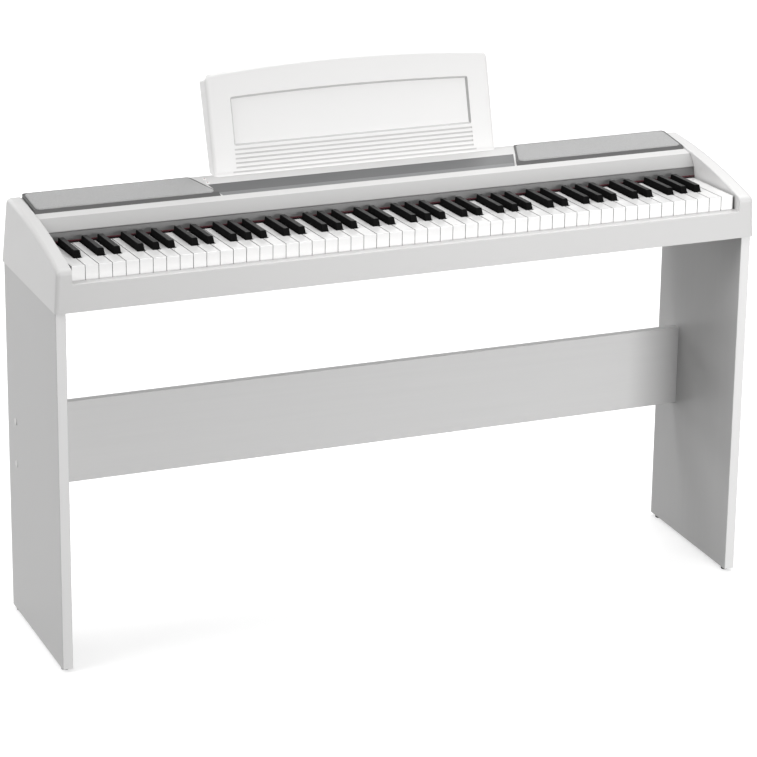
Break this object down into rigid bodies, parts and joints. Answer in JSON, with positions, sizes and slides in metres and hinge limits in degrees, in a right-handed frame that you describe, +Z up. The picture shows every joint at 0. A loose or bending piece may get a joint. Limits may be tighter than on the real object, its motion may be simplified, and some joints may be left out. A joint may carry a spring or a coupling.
{
  "type": "digital piano on stand",
  "caption": "Slim white digital piano with weighted-style keys, cloth speaker grilles and a lift-off music rest, on a two-panel stand with a back board.",
  "frame": {"origin": "on the floor under the middle of the overall box", "axes": "+X to the player's right, +Y to the back, +Z up; the player sits at -Y"},
  "size_m": [1.292, 0.3716, 0.9489],
  "materials": {
    "case_white": "satin white moulded plastic with a very fine texture",
    "white_key": "glossy white keytop plastic",
    "black_key": "satin black keytop plastic",
    "dark_trim": "dark grey satin plastic",
    "dark_panel": "dark grey semi-gloss panel with a fine brushed grain",
    "grille_cloth": "light grey woven speaker cloth",
    "red_felt": "dark red felt",
    "grey_felt": "grey felt",
    "stand_laminate": "silvery white laminate on particle board",
    "bottom_panel": "painted hardboard",
    "sheet_steel": "zinc plated sheet steel",
    "zinc_steel": "zinc plated steel",
    "insert_brass": "plain brass",
    "black_plastic": "black moulded plastic",
    "foot_plastic": "black moulded plastic glides",
    "circuit_board": "green circuit board",
    "speaker_paper": "pressed black paper",
    "button_white": "glossy white button"
  },
  "bodies": {
    "piano": {"upper_case": "case_white", "fallboard": "case_white", "bottom_board": "bottom_panel", "left_grille_base": "dark_trim", "right_grille_base": "dark_trim", "left_grille_cloth": "grille_cloth", "right_grille_cloth": "grille_cloth", "center_panel": "dark_panel", "key_felt": "red_felt", "key_chassis": "sheet_steel", "key_stop_felt": "grey_felt", "pivot_rail": "black_plastic", "contact_board": "circuit_board", "left_speaker": "sheet_steel", "right_speaker": "sheet_steel", "speaker_cones": "speaker_paper", "main_board": "circuit_board", "jack_panel": "black_plastic", "phone_jacks": "black_plastic", "dc_inlet": "black_plastic", "left_leg_panel": "stand_laminate", "right_leg_panel": "stand_laminate", "back_board": "stand_laminate", "board_brackets": "zinc_steel", "case_brackets": "zinc_steel", "board_bolts": "zinc_steel", "bolt_caps": "case_white", "bracket_screws": "zinc_steel", "knob_bolts": "black_plastic", "threaded_inserts": "insert_brass", "case_screws": "zinc_steel", "feet": "foot_plastic"},
    "music_rest": {"music_rest": "case_white", "music_rest_back": "case_white"},
    "power_button": {"power_button": "button_white"},
    "song_button": {"song_button": "button_white"},
    "c4_key": {"c4_key": "white_key"},
    "c_sharp4_key": {"c_sharp4_key": "black_key"},
    "d4_key": {"d4_key": "white_key"},
    "d_sharp4_key": {"d_sharp4_key": "black_key"},
    "e4_key": {"e4_key": "white_key"},
    "f4_key": {"f4_key": "white_key"},
    "f_sharp4_key": {"f_sharp4_key": "black_key"},
    "g4_key": {"g4_key": "white_key"},
    "g_sharp4_key": {"g_sharp4_key": "black_key"},
    "a4_key": {"a4_key": "white_key"},
    "a_sharp4_key": {"a_sharp4_key": "black_key"},
    "b4_key": {"b4_key": "white_key"},
    "octave1_white_keys": {"octave1_white_keys": "white_key"},
    "octave1_black_keys": {"octave1_black_keys": "black_key"},
    "octave2_white_keys": {"octave2_white_keys": "white_key"},
    "octave2_black_keys": {"octave2_black_keys": "black_key"},
    "octave3_white_keys": {"octave3_white_keys": "white_key"},
    "octave3_black_keys": {"octave3_black_keys": "black_key"},
    "octave5_white_keys": {"octave5_white_keys": "white_key"},
    "octave5_black_keys": {"octave5_black_keys": "black_key"},
    "octave6_white_keys": {"octave6_white_keys": "white_key"},
    "octave6_black_keys": {"octave6_black_keys": "black_key"},
    "octave7_white_keys": {"octave7_white_keys": "white_key"},
    "octave7_black_keys": {"octave7_black_keys": "black_key"}
  },
  "joints": [
    {"name": "c4_press", "type": "hinge", "parent": "piano", "child": "c4_key", "pos_m": [0, 0.05065, 0.7003], "axis": [1, 0, 0], "range_deg": [0, 2.6], "stiffness_Nm_per_rad": 0.42, "springref_deg": -28.65},
    {"name": "c_sharp4_press", "type": "hinge", "parent": "piano", "child": "c_sharp4_key", "pos_m": [0, 0.05065, 0.7003], "axis": [1, 0, 0], "range_deg": [0, 2.6], "stiffness_Nm_per_rad": 0.3, "springref_deg": -28.65},
    {"name": "d4_press", "type": "hinge", "parent": "piano", "child": "d4_key", "pos_m": [0, 0.05065, 0.7003], "axis": [1, 0, 0], "range_deg": [0, 2.6], "stiffness_Nm_per_rad": 0.42, "springref_deg": -28.65},
    {"name": "d_sharp4_press", "type": "hinge", "parent": "piano", "child": "d_sharp4_key", "pos_m": [0, 0.05065, 0.7003], "axis": [1, 0, 0], "range_deg": [0, 2.6], "stiffness_Nm_per_rad": 0.3, "springref_deg": -28.65},
    {"name": "e4_press", "type": "hinge", "parent": "piano", "child": "e4_key", "pos_m": [0, 0.05065, 0.7003], "axis": [1, 0, 0], "range_deg": [0, 2.6], "stiffness_Nm_per_rad": 0.42, "springref_deg": -28.65},
    {"name": "f4_press", "type": "hinge", "parent": "piano", "child": "f4_key", "pos_m": [0, 0.05065, 0.7003], "axis": [1, 0, 0], "range_deg": [0, 2.6], "stiffness_Nm_per_rad": 0.42, "springref_deg": -28.65},
    {"name": "f_sharp4_press", "type": "hinge", "parent": "piano", "child": "f_sharp4_key", "pos_m": [0, 0.05065, 0.7003], "axis": [1, 0, 0], "range_deg": [0, 2.6], "stiffness_Nm_per_rad": 0.3, "springref_deg": -28.65},
    {"name": "g4_press", "type": "hinge", "parent": "piano", "child": "g4_key", "pos_m": [0, 0.05065, 0.7003], "axis": [1, 0, 0], "range_deg": [0, 2.6], "stiffness_Nm_per_rad": 0.42, "springref_deg": -28.65},
    {"name": "g_sharp4_press", "type": "hinge", "parent": "piano", "child": "g_sharp4_key", "pos_m": [0, 0.05065, 0.7003], "axis": [1, 0, 0], "range_deg": [0, 2.6], "stiffness_Nm_per_rad": 0.3, "springref_deg": -28.65},
    {"name": "a4_press", "type": "hinge", "parent": "piano", "child": "a4_key", "pos_m": [0, 0.05065, 0.7003], "axis": [1, 0, 0], "range_deg": [0, 2.6], "stiffness_Nm_per_rad": 0.42, "springref_deg": -28.65},
    {"name": "a_sharp4_press", "type": "hinge", "parent": "piano", "child": "a_sharp4_key", "pos_m": [0, 0.05065, 0.7003], "axis": [1, 0, 0], "range_deg": [0, 2.6], "stiffness_Nm_per_rad": 0.3, "springref_deg": -28.65},
    {"name": "b4_press", "type": "hinge", "parent": "piano", "child": "b4_key", "pos_m": [0, 0.05065, 0.7003], "axis": [1, 0, 0], "range_deg": [0, 2.6], "stiffness_Nm_per_rad": 0.42, "springref_deg": -28.65},
    {"name": "octave1_white_press", "type": "hinge", "parent": "piano", "child": "octave1_white_keys", "pos_m": [0, 0.05065, 0.7003], "axis": [1, 0, 0], "range_deg": [0, 2.6], "stiffness_Nm_per_rad": 3.78, "springref_deg": -28.65},
    {"name": "octave1_black_press", "type": "hinge", "parent": "piano", "child": "octave1_black_keys", "pos_m": [0, 0.05065, 0.7003], "axis": [1, 0, 0], "range_deg": [0, 2.6], "stiffness_Nm_per_rad": 1.8, "springref_deg": -28.65},
    {"name": "octave2_white_press", "type": "hinge", "parent": "piano", "child": "octave2_white_keys", "pos_m": [0, 0.05065, 0.7003], "axis": [1, 0, 0], "range_deg": [0, 2.6], "stiffness_Nm_per_rad": 2.94, "springref_deg": -28.65},
    {"name": "octave2_black_press", "type": "hinge", "parent": "piano", "child": "octave2_black_keys", "pos_m": [0, 0.05065, 0.7003], "axis": [1, 0, 0], "range_deg": [0, 2.6], "stiffness_Nm_per_rad": 1.5, "springref_deg": -28.65},
    {"name": "octave3_white_press", "type": "hinge", "parent": "piano", "child": "octave3_white_keys", "pos_m": [0, 0.05065, 0.7003], "axis": [1, 0, 0], "range_deg": [0, 2.6], "stiffness_Nm_per_rad": 2.94, "springref_deg": -28.65},
    {"name": "octave3_black_press", "type": "hinge", "parent": "piano", "child": "octave3_black_keys", "pos_m": [0, 0.05065, 0.7003], "axis": [1, 0, 0], "range_deg": [0, 2.6], "stiffness_Nm_per_rad": 1.5, "springref_deg": -28.65},
    {"name": "octave5_white_press", "type": "hinge", "parent": "piano", "child": "octave5_white_keys", "pos_m": [0, 0.05065, 0.7003], "axis": [1, 0, 0], "range_deg": [0, 2.6], "stiffness_Nm_per_rad": 2.94, "springref_deg": -28.65},
    {"name": "octave5_black_press", "type": "hinge", "parent": "piano", "child": "octave5_black_keys", "pos_m": [0, 0.05065, 0.7003], "axis": [1, 0, 0], "range_deg": [0, 2.6], "stiffness_Nm_per_rad": 1.5, "springref_deg": -28.65},
    {"name": "octave6_white_press", "type": "hinge", "parent": "piano", "child": "octave6_white_keys", "pos_m": [0, 0.05065, 0.7003], "axis": [1, 0, 0], "range_deg": [0, 2.6], "stiffness_Nm_per_rad": 2.94, "springref_deg": -28.65},
    {"name": "octave6_black_press", "type": "hinge", "parent": "piano", "child": "octave6_black_keys", "pos_m": [0, 0.05065, 0.7003], "axis": [1, 0, 0], "range_deg": [0, 2.6], "stiffness_Nm_per_rad": 1.5, "springref_deg": -28.65},
    {"name": "octave7_white_press", "type": "hinge", "parent": "piano", "child": "octave7_white_keys", "pos_m": [0, 0.05065, 0.7003], "axis": [1, 0, 0], "range_deg": [0, 2.6], "stiffness_Nm_per_rad": 3.36, "springref_deg": -28.65},
    {"name": "octave7_black_press", "type": "hinge", "parent": "piano", "child": "octave7_black_keys", "pos_m": [0, 0.05065, 0.7003], "axis": [1, 0, 0], "range_deg": [0, 2.6], "stiffness_Nm_per_rad": 1.5, "springref_deg": -28.65},
    {"name": "music_rest_lift", "type": "slide", "parent": "piano", "child": "music_rest", "axis": [0, 0.2756, 0.9613], "range_m": [0, 0.06]},
    {"name": "power_button_press", "type": "slide", "parent": "piano", "child": "power_button", "axis": [0, 0.083, -0.9965], "range_m": [0, 0.001], "stiffness_N_per_m": 300, "springref_m": -0.003},
    {"name": "song_button_press", "type": "slide", "parent": "piano", "child": "song_button", "axis": [0, 0.083, -0.9965], "range_m": [0, 0.001], "stiffness_N_per_m": 300, "springref_m": -0.003}
  ]
}
